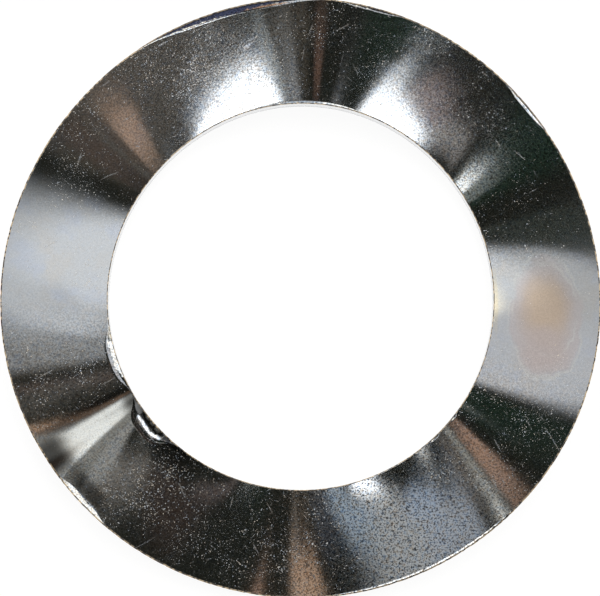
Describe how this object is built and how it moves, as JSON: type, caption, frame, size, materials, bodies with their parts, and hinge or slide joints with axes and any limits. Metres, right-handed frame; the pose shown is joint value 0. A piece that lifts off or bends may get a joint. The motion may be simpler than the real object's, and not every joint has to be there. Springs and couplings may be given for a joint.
{
  "type": "wave lock washer",
  "caption": "Round spring lock washer of bright plated sheet steel, formed into gentle waves, with a plain central bore.",
  "frame": {"origin": "centre of the bore, on the plane that the low points of the waves rest on", "axes": "+Z along the bore, away from the surface the washer lies on; +X points where the camera's right points. Seen from +Z it lies 35 degrees past a crest and 25 degrees before a low point, counter-clockwise"},
  "size_m": [0.028, 0.028, 0.0021],
  "materials": {
    "zinc_plate": "gloss"
  },
  "bodies": {
    "root": {"washer": "zinc_plate"}
  },
  "joints": []
}
